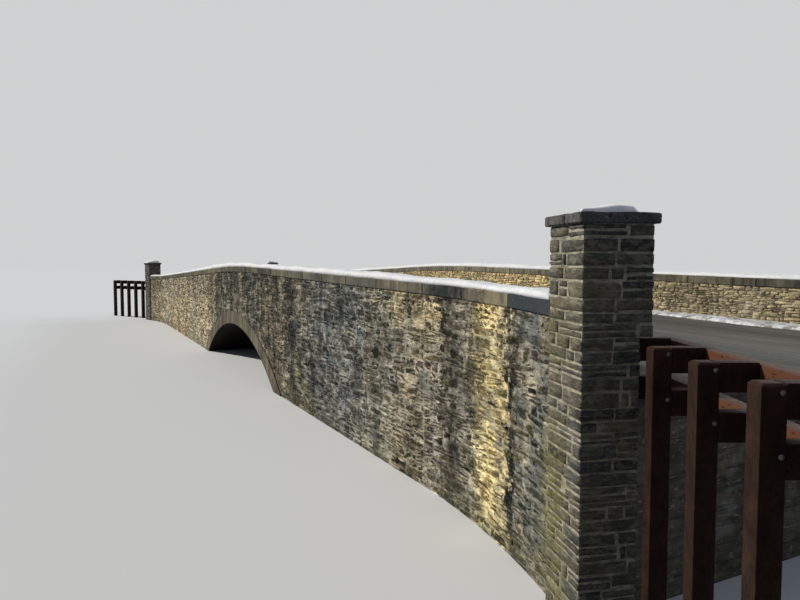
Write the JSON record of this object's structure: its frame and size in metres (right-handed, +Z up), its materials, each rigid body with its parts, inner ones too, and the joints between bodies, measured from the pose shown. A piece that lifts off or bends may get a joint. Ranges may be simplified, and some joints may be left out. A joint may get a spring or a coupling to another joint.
{
  "type": "stone arch bridge, 1:2 scale model",
  "caption": "Rubble-stone road bridge at 1:2 scale: one flat segmental arch, flared wing walls, coped parapets, square end pillars and timber approach rails.",
  "frame": {"origin": "on the floor under the road's centre line, halfway between the two ends; the crown of the arch is at x = 2.67", "axes": "+X along the road, -Y towards the face seen in the picture, +Z up"},
  "size_m": [31.6404, 7.7948, 2.355],
  "materials": {
    "rubble_stone": "rough coursed rubble with pale mortar",
    "pillar_stone": "rough squared stone with pale mortar",
    "coping_stone": "sawn slabs, weathered",
    "ring_concrete": "smooth, water stained",
    "end_concrete": "plain cast",
    "packed_fill": "packed gravel",
    "asphalt": "worn",
    "red_brown_timber": "dark preservative stain"
  },
  "bodies": {
    "root": {"near_arch_ring": "ring_concrete", "near_spandrel_wall": "rubble_stone", "near_middle_coping": "coping_stone", "near_right_wing_wall": "rubble_stone", "near_right_coping": "coping_stone", "near_right_pillar": "pillar_stone", "near_right_pillar_cap": "coping_stone", "near_right_approach_posts": "red_brown_timber", "near_right_approach_blocks": "red_brown_timber", "near_right_approach_rails": "red_brown_timber", "near_left_wing_wall": "rubble_stone", "near_left_coping": "coping_stone", "near_left_pillar": "pillar_stone", "near_left_pillar_cap": "coping_stone", "near_left_approach_posts": "red_brown_timber", "near_left_approach_blocks": "red_brown_timber", "near_left_approach_rails": "red_brown_timber", "far_arch_ring": "ring_concrete", "far_spandrel_wall": "rubble_stone", "far_middle_coping": "coping_stone", "far_right_wing_wall": "rubble_stone", "far_right_coping": "coping_stone", "far_right_pillar": "pillar_stone", "far_right_pillar_cap": "coping_stone", "far_right_approach_posts": "red_brown_timber", "far_right_approach_blocks": "red_brown_timber", "far_right_approach_rails": "red_brown_timber", "far_left_wing_wall": "rubble_stone", "far_left_coping": "coping_stone", "far_left_pillar": "pillar_stone", "far_left_pillar_cap": "coping_stone", "far_left_approach_posts": "red_brown_timber", "far_left_approach_blocks": "red_brown_timber", "far_left_approach_rails": "red_brown_timber", "arch_barrel": "ring_concrete", "road_fill": "packed_fill", "road_surface": "asphalt", "right_end_wall": "end_concrete", "left_end_wall": "end_concrete"}
  },
  "joints": []
}
